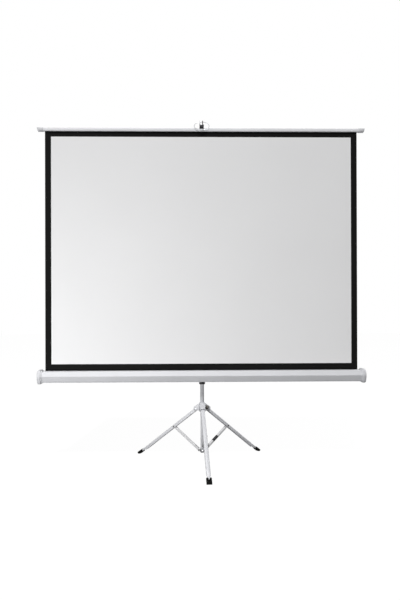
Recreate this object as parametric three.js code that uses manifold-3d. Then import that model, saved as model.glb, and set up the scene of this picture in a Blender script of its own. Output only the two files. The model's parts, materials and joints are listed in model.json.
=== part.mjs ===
import * as THREE from 'three';
import { mergeVertices } from 'three/addons/utils/BufferGeometryUtils.js';
import Module from 'manifold-3d';

// Tripod projector screen. A folding tripod carries a case with a spring roller,
// and the fabric is drawn up out of the case and hooked to a sliding rod by a ring.
// Millimetres, +Z up, the picture faces -Y and the floor is z = 0.

// Fabric
const pictureWidth = 1707;
const pictureHeight = 1280;
const sideBorder = 27;
const topBorder = 30;
const bottomBorder = 36;
const fabricThickness = 0.8;

// Heights above the floor
const hubPivotHeight = 296;
const caseCentreHeight = 491;
const poleTopHeight = 1345;

// Clearances
const seatGap = 0.3;
const turnGap = 0.3;
const overrun = 3;

// Pole, strut and rod
const poleRadius = 11;
const poleWall = 1.2;
const strutWall = 1.2;
const strutInsertion = 190;
const rodRadius = 8;
const rodInsertion = 210;
const guideLength = 40;
const rodWall = 1.2;
const guideSpigot = 20;
const bushWall = 4;
const bushGrip = 18;
const bushHead = 14;
const latchRadius = 4;
const latchHeadRadius = 5.5;
const latchHeadLength = 4;
const latchTravel = 4;
const latchWall = 2.5;
const latchBossReach = 5;

// Hub
const hubRadius = 16;
const hubBelowPivot = 12;
const hubAbovePivot = 40;
const hubFloor = 4;
const pivotReach = 36;
const forkWall = 2.5;
const forkPastPivot = 12;
const forkBelowPivot = 7;
const forkTaper = 5;
const forkCorner = 3;
const hoodThickness = 3;
const hoodGap = 0.6;
const pivotPinRadius = 3;
const pinHeadRadius = 5;
const pinHeadThickness = 1.6;
const knobRadius = 11;
const knobLength = 14;
const knobStemRadius = 4;
const knobBossRadius = 8;
const knobBossReach = 24;
const knobGrip = 1.6;

// Legs, as drawn and as folded
const legAngle = THREE.MathUtils.degToRad(52);
const legAzimuths = { front: -87, right: 33, left: 153 };
const knobAzimuth = THREE.MathUtils.degToRad(-27);
const legWidth = 22;
const legDepth = 17;
const legWall = 1.6;
const legCorner = 5;
const legPivotInset = 8.4;
const rivetSpan = 181;
const braceSpan = 200;
const braceWidth = 15;
const braceDepth = 12.2;
const braceWall = 1.4;
const braceCorner = 2.5;
const bracePivotInset = 6;
const braceWebCut = 34;
const rivetRadius = 2.5;
const rivetHeadRadius = 4.5;
const rivetHeadThickness = 1.2;
const bootWidth = 29;
const bootThickness = 17;
const bootLength = 48;
const bootToe = 3;
const tongueWidth = 15;
const tongueThickness = 9;
const tongueGrip = 14;
const channelTopGap = 8;
const channelLowGap = 24;
const bootWall = 3;
const bootCorner = 5;
const bootNotch = 13;

// Brace collar on the strut
const collarRadius = 12;
const collarReach = 18;
const collarBelowPin = 10;
const collarAbovePin = 12;
const earEndRadius = 5;
const earDrop = 9;
const plugLength = 18;
const plugHead = 4;
const earRoot = 2;

// Case
const caseEndRoom = 36.5;
const caseHeight = 62;
const caseFrontDepth = 32;
const caseBackDepth = 28;
const caseWall = 1.5;
const caseSlotWidth = 8;
const capLength = 27;
const capWall = 8;
const capEndWall = 5;
const capEdge = 3;

// Roller and its spring
const rollerRadius = 16;
const rollerWall = 1.2;
const wrapThickness = 2.6;
const rollerEndGap = 6;
const plugFlangeLength = 4;
const rollerPlugLength = 24;
const rollerPinRadius = 4;
const spindleRadius = 4;
const springCurls = 24;
const springPitch = 9;
const springRadius = 9;
const springWireRadius = 1.2;
const springSteps = 8;
const springSides = 5;
const springStopRadius = 12;
const bracketThickness = 3;

// Carriage on the pole
const sleeveBelowCase = 51;
const sleeveRadius = 17;
const sleeveHeight = 96;
const plateThickness = 3;
const plateWidth = 70;
const plateHeight = 54;
const boltRadius = 4;
const boltHeadRadius = 7;
const boltHeadLength = 2.5;
const padHalfWidth = 14;
const padHeight = 40;
const plateCorner = 10;
const heightKnobReach = 24;

// Top bar, ring, arm and hook
const barEndRoom = 45.5;
const barHeight = 19.5;
const barDepth = 20;
const barWall = 1.4;
const barSlotWidth = 4;
const barCapLength = 37;
const barCapWall = 1.8;
const barCapSlant = 8;
const barTopCorner = 8;
const barLowCorner = 3;
const hemRadius = 4;
const ringWidth = 89;
const ringHeight = 51;
const ringWireRadius = 2.5;
const ringDrop = 16.8;
const clipWidth = 14;
const clipHeight = 11;
const clipWall = 2;
const armWidth = 24;
const armHeight = 14.2;
const armLift = 1.2;
const armNoseDrop = 6.8;
const armNoseGap = 1;
const hookWidth = 27;
const hookNotch = 4;
const hookThickness = 2;
const hookSlack = 0.8;
const hookRearReach = 16;
const hookLip = 9;
const armSocketWall = 5;
const armSocketDrop = 20;
const armCorner = 5;
const armTopCorner = 9;
const armRoof = 4;
const armNose = 1.2;

// Facets round a circle
const roundSides = 24;
const pinSides = 12;
const wireSides = 8;
const cornerSteps = 3;

// Finishes
const finish = (color, roughness, metalness = 0) =>
  new THREE.MeshStandardMaterial({ color, roughness, metalness });
const whitePaint = finish(0xdcdde2, 0.45);
const bracePaint = finish(0xcfd0d4, 0.5);
const whitePlastic = finish(0xd5d6da, 0.5);
const blackPlastic = finish(0x16161a, 0.55);
const rubberBlack = finish(0x0d0d0f, 0.8);
const steel = finish(0xb9bbc0, 0.3, 0.9);
const darkSteel = finish(0x4a4845, 0.45, 0.7);
const screenCloth = finish(0xe6e7ea, 0.9);

const wasm = await Module();
wasm.setup();

// A closed geometry as a solid that can be joined and cut
function solidOf(geometry) {
  const bare = geometry.clone();
  bare.deleteAttribute('normal');
  bare.deleteAttribute('uv');
  const merged = mergeVertices(bare);
  const vertProperties = merged.attributes.position.array;
  const triVerts = new Uint32Array(merged.index.array);
  return new wasm.Manifold(new wasm.Mesh({ numProp: 3, vertProperties, triVerts }));
}

function geometryOf(solid) {
  const { vertProperties, triVerts } = solid.getMesh();
  const geometry = new THREE.BufferGeometry();
  geometry.setAttribute('position', new THREE.BufferAttribute(vertProperties, 3));
  geometry.setIndex(new THREE.BufferAttribute(triVerts, 1));
  geometry.computeVertexNormals();
  return geometry;
}

const join = (first, ...others) =>
  geometryOf(others.reduce((all, next) => all.add(solidOf(next)), solidOf(first)));
const cut = (first, ...tools) =>
  geometryOf(tools.reduce((left, tool) => left.subtract(solidOf(tool)), solidOf(first)));
const common = (first, second) => geometryOf(solidOf(first).intersect(solidOf(second)));

// A block between two opposite corners
function block(low, high) {
  const size = high.map((value, i) => value - low[i]);
  const middle = high.map((value, i) => (value + low[i]) / 2);
  return new THREE.BoxGeometry(...size).translate(...middle);
}

// An outline with its corners rounded; a radius of zero leaves a corner sharp
function rounded(corners, radius, steps = cornerSteps) {
  const points = [];
  corners.forEach((corner, i) => {
    const here = new THREE.Vector2(...corner);
    const before = new THREE.Vector2(...corners.at(i - 1)).sub(here);
    const after = new THREE.Vector2(...corners[(i + 1) % corners.length]).sub(here);
    const r = Array.isArray(radius) ? radius[i] : radius;
    if (r === 0) {
      points.push(here);
      return;
    }
    const half = before.angleTo(after) / 2;
    const centre = before.clone().normalize().add(after.clone().normalize()).normalize();
    centre.multiplyScalar(r / Math.sin(half)).add(here);
    const start = before.clone().setLength(r / Math.tan(half)).add(here).sub(centre);
    const end = after.clone().setLength(r / Math.tan(half)).add(here).sub(centre);
    const sweep = Math.atan2(start.cross(end), start.dot(end));
    for (let k = 0; k <= steps; k += 1) {
      points.push(start.clone().rotateAround(new THREE.Vector2(), (sweep * k) / steps).add(centre));
    }
  });
  return points;
}

const circle = (radius, sides, [u, v] = [0, 0]) =>
  Array.from({ length: sides }, (_, i) => {
    const angle = (2 * Math.PI * i) / sides;
    return new THREE.Vector2(u + radius * Math.cos(angle), v + radius * Math.sin(angle));
  });

// Prisms of an outline with round or other holes through them
function prism(outline, depth, holes = []) {
  const shape = new THREE.Shape(outline);
  shape.holes = holes.map((hole) => new THREE.Path(hole));
  return new THREE.ExtrudeGeometry(shape, { depth, bevelEnabled: false });
}

const alongX = (outline, x0, x1, holes) =>
  prism(outline, x1 - x0, holes)
    .applyMatrix4(new THREE.Matrix4().set(0, 0, 1, x0, 1, 0, 0, 0, 0, 1, 0, 0, 0, 0, 0, 1));
const alongY = (outline, y0, y1, holes) =>
  prism(outline, y1 - y0, holes).rotateX(Math.PI / 2).translate(0, y1, 0);
const alongZ = (outline, z0, z1, holes) => prism(outline, z1 - z0, holes).translate(0, 0, z0);

const rodX = (radius, x0, x1, sides, place) => alongX(circle(radius, sides, place), x0, x1);
const rodY = (radius, y0, y1, sides, place) => alongY(circle(radius, sides, place), y0, y1);
const rodZ = (radius, z0, z1, sides, place) => alongZ(circle(radius, sides, place), z0, z1);
const tubeZ = (outer, inner, z0, z1) =>
  alongZ(circle(outer, roundSides), z0, z1, [circle(inner, roundSides)]);

// A profile of radius and height turned about Z
function turned(profile, sides = roundSides) {
  const points = profile.map(([r, z]) => new THREE.Vector2(r, z));
  if (THREE.ShapeUtils.area(points) < 0) points.reverse();
  return new THREE.LatheGeometry([...points, points[0]], sides).rotateX(Math.PI / 2);
}

// A tube of a round section swept along a curve
function swept(curve, radius, steps, sides = wireSides) {
  const shape = new THREE.Shape(circle(radius, sides));
  return new THREE.ExtrudeGeometry(shape, { steps, extrudePath: curve, bevelEnabled: false });
}

const screen = new THREE.Group();

// A named piece of the screen
function piece(name, geometry, material, parent = screen) {
  const mesh = new THREE.Mesh(geometry, material);
  mesh.name = name;
  parent.add(mesh);
  return mesh;
}

// Pole with its top bush and latch button
const poleInner = poleRadius - poleWall;
const strutRadius = poleInner - turnGap;
const hubBottom = hubPivotHeight - hubBelowPivot;
const hubTop = hubPivotHeight + hubAbovePivot;
const poleBottom = hubBottom + hubFloor + seatGap;
piece('pole_tube', tubeZ(poleRadius, poleInner, poleBottom, poleTopHeight), whitePaint);

const bushRadius = poleRadius + seatGap + bushWall;
const bushHeadBottom = poleTopHeight + seatGap;
const bushTop = bushHeadBottom + bushHead;
const latchHeight = (bushHeadBottom + bushTop) / 2;
const latchBossEnd = bushRadius + latchBossReach;
const latchPlace = [0, latchHeight];
const bushRing = turned([
  [poleRadius + seatGap, poleTopHeight - bushGrip],
  [bushRadius, poleTopHeight - bushGrip],
  [bushRadius, bushTop - bushWall / 2],
  [bushRadius - bushWall / 2, bushTop],
  [rodRadius + turnGap, bushTop],
  [rodRadius + turnGap, bushHeadBottom],
  [poleRadius + seatGap, bushHeadBottom],
]);
const latchBossRadius = latchRadius + turnGap + latchWall;
const latchBoss = rodY(latchBossRadius, poleRadius + seatGap, latchBossEnd, pinSides, latchPlace);
const latchHole = rodY(latchRadius + turnGap, 0, latchBossEnd + overrun, pinSides, latchPlace);
piece('pole_top_bush', cut(join(bushRing, latchBoss), latchHole), blackPlastic);

const latchTip = rodRadius + turnGap + latchTravel + seatGap;
const latchHeadStart = latchBossEnd + latchTravel + seatGap;
piece(
  'rod_latch_button',
  join(
    rodY(latchRadius, latchTip, latchHeadStart + latchHeadLength, pinSides, latchPlace),
    rodY(latchHeadRadius, latchHeadStart, latchHeadStart + latchHeadLength, pinSides, latchPlace),
  ),
  blackPlastic,
);

// Leg hub: a bored body, a hooded fork for each leg and a boss for the clamp knob
const azimuthOf = (side) => THREE.MathUtils.degToRad(legAzimuths[side]);
const sides = Object.keys(legAzimuths);
const knobHeight = (hubBottom + hubTop) / 2;
const forkRoot = hubRadius - forkWall;
const forkEnd = pivotReach + forkPastPivot;
const forkInnerWidth = legWidth + 2 * turnGap;
const forkWidth = forkInnerWidth + 2 * forkWall;
const hoodLow = hubPivotHeight + legPivotInset + hoodGap;

function hubFork(side) {
  const outline = rounded(
    [
      [forkRoot, hubBottom + forkTaper],
      [pivotReach, hubPivotHeight - forkBelowPivot],
      [forkEnd, hubPivotHeight],
      [forkEnd, hoodLow + hoodThickness],
      [forkRoot, hubTop - forkTaper],
    ],
    [0, forkCorner, forkCorner, forkCorner, 0],
  );
  return alongY(outline, -forkWidth / 2, forkWidth / 2).rotateZ(azimuthOf(side));
}

const pinHole = (radius, width, place) =>
  rodY(radius, -width / 2 - overrun, width / 2 + overrun, pinSides, place);
function forkRoom(side) {
  const slot = block(
    [pivotReach - legPivotInset - hoodGap, -forkInnerWidth / 2, hubBottom - overrun],
    [forkEnd + overrun, forkInnerWidth / 2, hoodLow],
  );
  return join(slot, pinHole(pivotPinRadius + seatGap, forkWidth, [pivotReach, hubPivotHeight]))
    .rotateZ(azimuthOf(side));
}
const knobBoss = rodX(knobBossRadius, forkRoot, knobBossReach, pinSides, [0, knobHeight]);
const knobHole = rodX(knobStemRadius + turnGap, 0, knobBossReach + overrun, pinSides, [0, knobHeight]);
piece(
  'leg_hub',
  cut(
    join(
      rodZ(hubRadius, hubBottom, hubTop, roundSides),
      knobBoss.rotateZ(knobAzimuth),
      ...sides.map(hubFork),
    ),
    rodZ(poleRadius + seatGap, hubBottom + hubFloor, hubTop + overrun, roundSides),
    rodZ(strutRadius + turnGap, hubBottom - overrun, hubTop, roundSides),
    knobHole.rotateZ(knobAzimuth),
    ...sides.map(forkRoom),
  ),
  whitePlastic,
);

// A clamp knob along X with a grip of shallow lobes and a stem that stops at the tube
function clampKnob(bossEnd, height) {
  const grip = circle(knobRadius, roundSides).map((point, i) =>
    i % 2 ? point : point.setLength(knobRadius - knobGrip));
  grip.forEach((point) => point.add(new THREE.Vector2(0, height)));
  const start = bossEnd + seatGap;
  return join(
    alongX(grip, start, start + knobLength),
    rodX(knobStemRadius, poleRadius + seatGap, start + knobLength / 2, pinSides, [0, height]),
  );
}
piece('hub_knob', clampKnob(knobBossReach, knobHeight).rotateZ(knobAzimuth), darkSteel);

// Strut: the inner tube that slides out of the pole and carries the brace collar
const rivetReach = pivotReach + rivetSpan * Math.sin(legAngle);
const rivetHeight = hubPivotHeight - rivetSpan * Math.cos(legAngle);
const braceAngle = Math.asin((rivetReach - collarReach) / braceSpan);
const pinLow = rivetHeight - braceSpan * Math.cos(braceAngle);
const strutBottom = pinLow - collarBelowPin;
const strutInner = strutRadius - strutWall;
piece('strut_tube', tubeZ(strutRadius, strutInner, strutBottom, hubBottom + strutInsertion), whitePaint);
piece(
  'strut_plug',
  join(
    rodZ(strutInner - seatGap, strutBottom - seatGap - plugHead / 2, strutBottom + plugLength, roundSides),
    rodZ(strutRadius, strutBottom - seatGap - plugHead, strutBottom - seatGap, roundSides),
  ),
  blackPlastic,
);

const braceInnerWidth = braceWidth - 2 * braceWall;
const earWidth = braceInnerWidth - 2 * turnGap;
const earPlace = [collarReach, pinLow];
const earSpan = [-earWidth / 2, earWidth / 2];
const grooveRadius = rivetRadius + turnGap;

function collarEar(side) {
  const low = pinLow - earDrop;
  const plate = [
    [strutRadius + earRoot, low],
    [collarReach + earEndRadius, low],
    [collarReach + earEndRadius, pinLow],
    [collarReach, pinLow + earEndRadius],
    [strutRadius + earRoot, pinLow + earEndRadius],
  ].map(([x, z]) => new THREE.Vector2(x, z));
  return alongY(plate, ...earSpan).rotateZ(azimuthOf(side));
}

function earGroove(side) {
  const groove = block(
    [collarReach - grooveRadius, -earWidth, pinLow - earDrop - overrun],
    [collarReach + grooveRadius, earWidth, pinLow],
  );
  return join(pinHole(grooveRadius, earWidth, earPlace), groove).rotateZ(azimuthOf(side));
}
piece(
  'brace_collar',
  cut(
    join(rodZ(collarRadius, strutBottom, pinLow + collarAbovePin, roundSides), ...sides.map(collarEar)),
    rodZ(strutRadius + seatGap, strutBottom - overrun, pinLow + collarAbovePin + overrun, roundSides),
    ...sides.map(earGroove),
  ),
  steel,
);

// A rolled channel along X, open towards -Z, its web inset above the axis
function channel({ width, depth, wall, corner, inset }, x0, x1) {
  const low = inset - depth;
  const section = (half, bottom, top, radius) =>
    rounded([[-half, bottom], [half, bottom], [half, top], [-half, top]], [0, 0, radius, radius]);
  return cut(
    alongX(section(width / 2, low, inset, corner), x0, x1),
    alongX(section(width / 2 - wall, low - overrun, inset - wall, corner - wall), x0 - overrun, x1 + overrun),
  );
}

// Leg lengths along its axis, from the pivot to where the boot meets the floor
const legSize = { width: legWidth, depth: legDepth, wall: legWall, corner: legCorner, inset: legPivotInset };
const webInner = legPivotInset - legWall;
const tongueTop = webInner + legWall / 2;
const tongueLow = tongueTop - tongueThickness;
const bootMiddle = (tongueTop + tongueLow) / 2;
const bootTop = bootMiddle + bootThickness / 2;
const legEnd = (hubPivotHeight + bootTop * Math.sin(legAngle)) / Math.cos(legAngle);
const bootStart = legEnd - bootLength;
const bootEnd = hubPivotHeight / Math.cos(legAngle) + bootToe;
const channelTopEnd = bootStart - channelTopGap;
const channelLowEnd = bootStart - channelLowGap;
const tongueEnd = (hubPivotHeight + tongueLow * Math.sin(legAngle)) / Math.cos(legAngle) - bootWall;

// The leg as one pressed channel with a narrower tongue that carries the boot
function legChannel() {
  const low = legPivotInset - legDepth;
  const side = rounded(
    [
      [-legPivotInset, low],
      [channelLowEnd, low],
      [channelTopEnd, legPivotInset],
      [-legPivotInset, legPivotInset],
    ],
    [legPivotInset, 0, 0, legPivotInset],
    2 * cornerSteps,
  );
  const body = common(
    channel(legSize, -legDepth, legEnd),
    alongY(side, -legWidth, legWidth),
  );
  const tongue = block(
    [channelLowEnd - tongueGrip, -tongueWidth / 2, tongueLow],
    [tongueEnd, tongueWidth / 2, tongueTop],
  );
  return cut(
    join(body, tongue),
    pinHole(pivotPinRadius + turnGap, legWidth, [0, 0]),
    pinHole(rivetRadius + seatGap, legWidth, [rivetSpan, 0]),
  );
}

// A rubber boot with a pocket for the tongue and a notch that shows it
function footBoot() {
  const half = bootWidth / 2;
  const low = bootMiddle - bootThickness / 2;
  const outer = rounded([[-half, low], [half, low], [half, bootTop], [-half, bootTop]], bootCorner);
  const notch = [[-overrun, -tongueWidth / 2], [bootNotch, 0], [-overrun, tongueWidth / 2]];
  const pocket = block(
    [bootStart - overrun, -tongueWidth / 2 - seatGap, tongueLow - seatGap],
    [tongueEnd + seatGap, tongueWidth / 2 + seatGap, tongueTop + seatGap],
  );
  const floorCut = block([-legEnd, -bootWidth, -legEnd], [legEnd, bootWidth, 0])
    .translate(0, 0, -hubPivotHeight)
    .rotateY(legAngle - Math.PI / 2);
  return cut(
    alongX(outer, bootStart, bootEnd),
    pocket,
    alongZ(notch.map(([x, y]) => new THREE.Vector2(bootStart + x, y)), bootMiddle, bootTop + overrun),
    floorCut,
  );
}

// A shouldered pin across Y with a head outside each face
function pinAcross(radius, width, headRadius, headThickness, [x, z]) {
  const face = width / 2 + seatGap;
  return join(
    rodY(radius, -face - headThickness, face + headThickness, pinSides, [x, z]),
    rodY(headRadius, -face - headThickness, -face, pinSides, [x, z]),
    rodY(headRadius, face, face + headThickness, pinSides, [x, z]),
  );
}

// A brace is a lighter channel, open away from the leg's web, that is cut back to clear the collar
const braceSize = {
  width: braceWidth,
  depth: braceDepth,
  wall: braceWall,
  corner: braceCorner,
  inset: bracePivotInset,
};
function braceLink() {
  const low = bracePivotInset - braceDepth;
  const start = -bracePivotInset;
  const end = braceSpan + bracePivotInset;
  const side = rounded(
    [[start, low], [end, low], [end, bracePivotInset], [start, bracePivotInset]],
    bracePivotInset,
    2 * cornerSteps,
  );
  const webCut = block(
    [braceSpan - braceWebCut, -braceInnerWidth / 2, low - overrun],
    [end + overrun, braceInnerWidth / 2, bracePivotInset + overrun],
  );
  return cut(
    common(channel(braceSize, start, end), alongY(side, -braceWidth, braceWidth)),
    webCut,
    pinHole(rivetRadius + turnGap, braceWidth, [0, 0]),
    pinHole(rivetRadius + seatGap, braceWidth, [braceSpan, 0]),
  ).rotateX(Math.PI);
}

sides.forEach((side) => {
  const spoke = new THREE.Group();
  spoke.rotation.z = azimuthOf(side);
  screen.add(spoke);
  const leg = new THREE.Group();
  leg.position.set(pivotReach, 0, hubPivotHeight);
  leg.rotation.y = Math.PI / 2 - legAngle;
  spoke.add(leg);
  const legPin = pinAcross(pivotPinRadius, forkWidth, pinHeadRadius, pinHeadThickness, [0, 0]);
  piece(`leg_pin_${side}`, legPin, steel, leg);
  piece(`leg_channel_${side}`, legChannel(), whitePaint, leg);
  piece(`foot_boot_${side}`, footBoot(), rubberBlack, leg);
  const rivet = pinAcross(rivetRadius, legWidth, rivetHeadRadius, rivetHeadThickness, [rivetSpan, 0]);
  piece(`brace_rivet_${side}`, rivet, darkSteel, leg);

  const brace = new THREE.Group();
  brace.position.set(rivetReach, 0, rivetHeight);
  brace.rotation.y = Math.PI / 2 + braceAngle;
  spoke.add(brace);
  piece(`brace_${side}`, braceLink(), bracePaint, brace);
  const lowPin = pinAcross(rivetRadius, braceWidth, rivetHeadRadius, rivetHeadThickness, [braceSpan, 0]);
  piece(`brace_pin_${side}`, lowPin, darkSteel, brace);
});

// Places set by the stack from the pole forward: sleeve, plate, case, roller, fabric
const plateBack = -(sleeveRadius + seatGap);
const plateFront = plateBack - plateThickness;
const caseBack = plateFront - seatGap;
const caseY = caseBack - caseBackDepth;
const wrapInner = rollerRadius + seatGap;
const wrapRadius = wrapInner + wrapThickness;
const fabricY = caseY + wrapRadius + seatGap + fabricThickness / 2;
const fabricWidth = pictureWidth + 2 * sideBorder;
const fabricHalf = fabricWidth / 2;

// Sleeve on the pole with a flat pad in front and a boss for its clamp knob behind
const sleeveBottom = caseCentreHeight - sleeveBelowCase;
const sleeveTop = sleeveBottom + sleeveHeight;
const padLow = caseCentreHeight - padHeight / 2;
const padHigh = caseCentreHeight + padHeight / 2;
const boltTip = -(poleRadius + seatGap + plateThickness / 2);
const boltPlace = [0, caseCentreHeight];
const heightKnobBoss = rodX(knobBossRadius, sleeveRadius - bushWall, heightKnobReach, pinSides, boltPlace);
const heightKnobHole = rodX(knobStemRadius + turnGap, 0, heightKnobReach + overrun, pinSides, boltPlace);
piece(
  'pole_sleeve',
  cut(
    join(
      rodZ(sleeveRadius, sleeveBottom, sleeveTop, roundSides),
      block([-padHalfWidth, -sleeveRadius, padLow], [padHalfWidth, -poleRadius / 2, padHigh]),
      heightKnobBoss.rotateZ(Math.PI / 2),
    ),
    rodZ(poleRadius + turnGap, sleeveBottom - overrun, sleeveTop + overrun, roundSides),
    heightKnobHole.rotateZ(Math.PI / 2),
    rodY(boltRadius + seatGap, -sleeveRadius - overrun, boltTip + seatGap, pinSides, boltPlace),
  ),
  blackPlastic,
);
piece('height_knob', clampKnob(heightKnobReach, caseCentreHeight).rotateZ(Math.PI / 2), blackPlastic);

const plateOutline = rounded(
  [[-1, -1], [1, -1], [1, 1], [-1, 1]].map(([u, v]) => [
    (u * plateWidth) / 2,
    caseCentreHeight + (v * plateHeight) / 2,
  ]),
  plateCorner,
);
piece(
  'case_bracket',
  alongY(plateOutline, plateFront, plateBack, [circle(boltRadius + seatGap, pinSides, boltPlace)]),
  steel,
);
const boltHeadBack = caseBack - caseWall - seatGap;
piece(
  'case_pivot_bolt',
  join(
    rodY(boltRadius, boltHeadBack - boltHeadLength, boltTip, pinSides, boltPlace),
    rodY(boltHeadRadius, boltHeadBack - boltHeadLength, boltHeadBack, pinSides, boltPlace),
  ),
  steel,
);

// Case section, as shares of its depths and half height, with a crease along the front
const frontShares = [[-0.75, -0.72], [-0.6, -1]];
const creaseShare = 0.13;
const topFrontShare = 0.62;
const backFlatShare = 0.78;
const backTopShare = 0.92;
const backLowShare = 0.6;
function caseOutline(grow) {
  const front = caseFrontDepth + grow;
  const back = caseBackDepth + grow;
  const half = caseHeight / 2 + grow;
  const points = [
    [-front * topFrontShare, half],
    [-front, half * creaseShare],
    ...frontShares.map(([u, v]) => [u * front, v * half]),
    [back * backLowShare, -half],
    [back, -half * backFlatShare],
    [back, half * backFlatShare],
    [back * backTopShare, half],
  ];
  return points.map(([y, z]) => new THREE.Vector2(caseY + y, caseCentreHeight + z));
}

const caseHalf = fabricHalf + caseEndRoom;
const shellEnd = caseHalf - capEndWall - seatGap;
const caseTop = caseCentreHeight + caseHeight / 2;
piece(
  'case_shell',
  cut(
    alongX(caseOutline(0), -shellEnd, shellEnd),
    alongX(caseOutline(-caseWall), -shellEnd - overrun, shellEnd + overrun),
    block(
      [-caseHalf, fabricY - caseSlotWidth / 2, caseTop - 2 * caseWall],
      [caseHalf, fabricY + caseSlotWidth / 2, caseTop + overrun],
    ),
    rodY(boltRadius + seatGap, caseBack - 2 * caseWall, caseBack + overrun, pinSides, boltPlace),
  ),
  whitePaint,
);

// End cap: a moulded cup with a rounded outer edge, made for the +X end
function caseCap() {
  const body = new THREE.ExtrudeGeometry(new THREE.Shape(caseOutline(capWall)), {
    depth: capLength - 2 * capEdge,
    bevelThickness: capEdge,
    bevelSize: capEdge,
    bevelOffset: -capEdge,
    bevelSegments: 2,
  });
  body.applyMatrix4(
    new THREE.Matrix4().set(0, 0, 1, caseHalf - capLength + capEdge, 1, 0, 0, 0, 0, 1, 0, 0, 0, 0, 0, 1),
  );
  const cup = alongX(caseOutline(seatGap), caseHalf - capLength - overrun, caseHalf - capEndWall);
  return cut(body, cup);
}

// The same piece at the other end, its triangles turned over so that they still face out
function mirroredX(geometry) {
  const flipped = (geometry.index ? geometry.toNonIndexed() : geometry.clone()).scale(-1, 1, 1);
  const spots = flipped.attributes.position;
  for (let i = 0; i < spots.count; i += 3) {
    const second = new THREE.Vector3().fromBufferAttribute(spots, i + 1);
    const third = new THREE.Vector3().fromBufferAttribute(spots, i + 2);
    spots.setXYZ(i + 1, ...third);
    spots.setXYZ(i + 2, ...second);
  }
  return flipped;
}

const bracketInner = shellEnd - bracketThickness;
const rollerAxis = [caseY, caseCentreHeight];
const bracketOutline = caseOutline(-caseWall - seatGap);
const rollerBracket = (holeRadius) =>
  alongX(bracketOutline, bracketInner, shellEnd, [circle(holeRadius, pinSides, rollerAxis)]);
piece('case_cap_right', caseCap(), whitePlastic);
piece('case_cap_left', mirroredX(caseCap()), whitePlastic);
piece('roller_bracket_right', rollerBracket(spindleRadius + seatGap), steel);
piece('roller_bracket_left', mirroredX(rollerBracket(rollerPinRadius + turnGap)), steel);

// Roller: a tube with a plug at each end, the last turns of cloth, and the spring inside
const rollerHalf = bracketInner - rollerEndGap;
const rollerInner = rollerRadius - rollerWall;
const ringX = (outer, inner, x0, x1) =>
  alongX(circle(outer, roundSides, rollerAxis), x0, x1, [circle(inner, roundSides, rollerAxis)]);
piece('roller_tube', ringX(rollerRadius, rollerInner, -rollerHalf, rollerHalf), steel);
piece('fabric_wrap', ringX(wrapRadius, wrapInner, -fabricHalf, fabricHalf), screenCloth);

const flangeStart = rollerHalf + seatGap;
const flangeEnd = flangeStart + plugFlangeLength;
const plugBody = (bore) =>
  cut(
    join(
      rodX(rollerInner - seatGap, rollerHalf - rollerPlugLength, flangeEnd, roundSides, rollerAxis),
      rodX(rollerRadius, flangeStart, flangeEnd, roundSides, rollerAxis),
    ),
    rodX(bore, -rollerHalf, caseHalf, pinSides, rollerAxis),
  );
piece('roller_plug_right', plugBody(spindleRadius + turnGap), blackPlastic);
const pinPlug = join(
  plugBody(rollerPinRadius / 2),
  rodX(rollerPinRadius, rollerHalf - rollerPlugLength, shellEnd, pinSides, rollerAxis),
);
piece('roller_plug_left', mirroredX(pinPlug), blackPlastic);

const springEnd = rollerHalf - rollerPlugLength - springWireRadius - seatGap;
const springStart = springEnd - springCurls * springPitch;
const stopFace = springStart - springWireRadius - seatGap;
piece(
  'spring_spindle',
  join(
    rodX(spindleRadius, stopFace - plugFlangeLength, shellEnd, pinSides, rollerAxis),
    rodX(springStopRadius, stopFace - plugFlangeLength, stopFace, roundSides, rollerAxis),
  ),
  steel,
);

class SpringCurve extends THREE.Curve {
  getPoint(t, target = new THREE.Vector3()) {
    const angle = 2 * Math.PI * springCurls * t;
    return target.set(
      springStart + springCurls * springPitch * t,
      caseY + springRadius * Math.cos(angle),
      caseCentreHeight + springRadius * Math.sin(angle),
    );
  }
}
const springCoil = swept(new SpringCurve(), springWireRadius, springCurls * springSteps, springSides);
piece('roller_spring', springCoil, steel);
console.log(`roller spring: least gap between curls ${(springPitch - 2 * springWireRadius).toFixed(1)} mm`);

// Fabric panel from the roller to the hem inside the top bar
const barBottom = caseTop + bottomBorder + pictureHeight + topBorder;
const barTop = barBottom + barHeight;
const fabricEnd = barBottom + barWall;
piece(
  'screen_fabric',
  block(
    [-fabricHalf, fabricY - fabricThickness / 2, caseCentreHeight],
    [fabricHalf, fabricY + fabricThickness / 2, fabricEnd],
  ),
  screenCloth,
);

// Top bar: a round-topped section with a slot below that holds the hem rod
function barOutline(grow) {
  const half = barDepth / 2 + grow;
  return rounded(
    [
      [fabricY - half, barBottom - grow],
      [fabricY + half, barBottom - grow],
      [fabricY + half, barTop + grow],
      [fabricY - half, barTop + grow],
    ],
    [barLowCorner + grow, barLowCorner + grow, barTopCorner + grow, barTopCorner + grow],
  );
}
const barHalf = fabricHalf + barEndRoom;
const barEnd = barHalf - barCapSlant - barCapWall - seatGap;
piece(
  'top_bar',
  cut(
    alongX(barOutline(0), -barEnd, barEnd),
    alongX(barOutline(-barWall), -barEnd - overrun, barEnd + overrun),
    block(
      [-barHalf, fabricY - barSlotWidth / 2, barBottom - overrun],
      [barHalf, fabricY + barSlotWidth / 2, barBottom + 2 * barWall],
    ),
  ),
  whitePaint,
);
const hemPlace = [fabricY, fabricEnd + seatGap + hemRadius];
piece('hem_rod', rodX(hemRadius, -fabricHalf, fabricHalf, pinSides, hemPlace), steel);

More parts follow.
